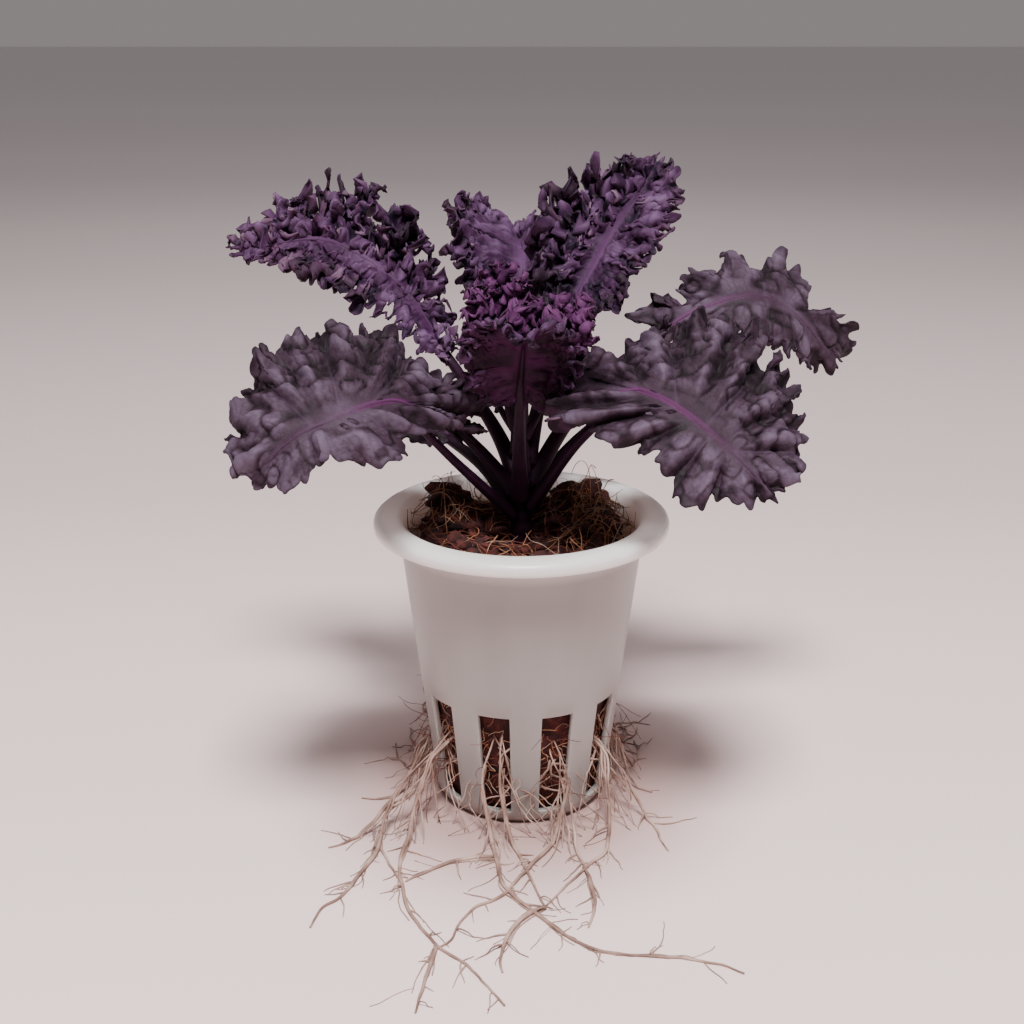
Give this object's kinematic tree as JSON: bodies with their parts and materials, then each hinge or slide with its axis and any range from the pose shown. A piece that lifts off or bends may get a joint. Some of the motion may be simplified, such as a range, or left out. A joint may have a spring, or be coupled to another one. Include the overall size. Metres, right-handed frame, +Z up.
{
  "type": "purple kale plant in a net pot",
  "caption": "Small purple curly-leaf kale plant with ruffled leaves on dark stalks, growing in a white slotted net pot filled with coir, bare roots trailing out of the slots.",
  "frame": {"origin": "middle of the net pot's flat base, on the surface it stands on", "axes": "+Z up along the pot's axis, -Y to the plant's front, +X to the right seen from the front"},
  "size_m": [0.1324, 0.1357, 0.1342],
  "materials": {
    "pot_plastic": "satin, slightly translucent white plastic",
    "coir": "rough damp fibre and chips",
    "stalk": "smooth, faintly waxy plant skin",
    "leaf": "waxy ruffled leaf, paler at veins and edges",
    "heart_leaf": "young, tightly curled leaf",
    "root": "bare pale root skin"
  },
  "bodies": {
    "root": {"net_pot": "pot_plastic", "coir": "coir", "stem": "stalk", "leaf_front_left": "leaf", "leaf_front_right": "leaf", "leaf_front_inner": "leaf", "leaf_left_inner": "leaf", "leaf_right": "leaf", "leaf_back_left": "leaf", "leaf_back_right": "leaf", "leaf_back": "leaf", "leaf_rear": "leaf", "leaf_rear_left": "leaf", "leaf_rear_right": "leaf", "heart_leaves": "heart_leaf", "roots_front": "root", "roots_right": "root", "roots_rear_right": "root", "roots_rear": "root", "roots_rear_left": "root", "roots_left_rear": "root", "roots_left": "root"}
  },
  "joints": []
}
